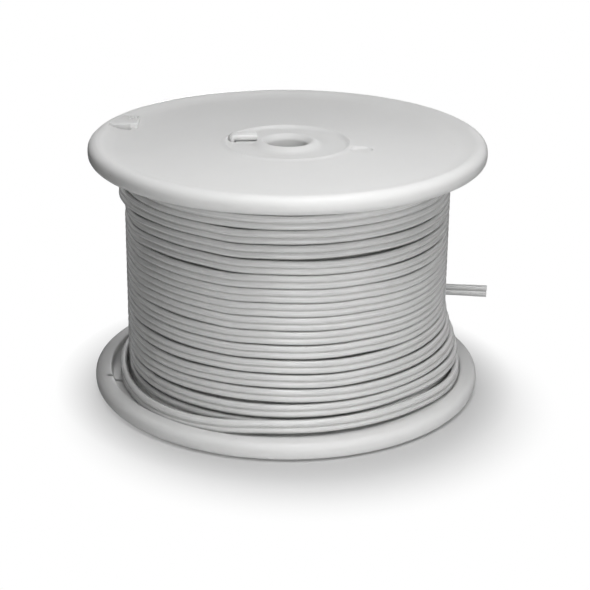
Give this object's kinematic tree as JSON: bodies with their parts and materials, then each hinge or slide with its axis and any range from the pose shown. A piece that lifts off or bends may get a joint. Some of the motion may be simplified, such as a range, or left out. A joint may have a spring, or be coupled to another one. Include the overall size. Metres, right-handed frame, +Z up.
{
  "type": "wire spool",
  "caption": "White plastic spool on a through bore, wound full of flat two-conductor lamp cord, with one loose end and a rim clip.",
  "frame": {"origin": "middle of the rest ring of the bottom flange, on the spindle axis", "axes": "+Z up along the spindle axis; the loose end of the cord points to +X at the back, and -Y is the front"},
  "size_m": [0.1787, 0.165, 0.108],
  "materials": {
    "flange_plastic": "white moulded plastic, half gloss",
    "barrel_plastic": "white moulded plastic tube",
    "cord_insulation": "soft white flexible insulation, satin",
    "copper": "bare copper strands"
  },
  "bodies": {
    "root": {"bottom_flange": "flange_plastic", "top_flange": "flange_plastic", "barrel": "barrel_plastic", "cord_inner_layers": "cord_insulation", "cord_outer_layer": "cord_insulation", "cord_free_end": "cord_insulation", "cord_start_end": "cord_insulation", "free_end_conductor_upper": "copper", "free_end_conductor_lower": "copper", "start_end_conductor_upper": "copper", "start_end_conductor_lower": "copper"}
  },
  "joints": []
}
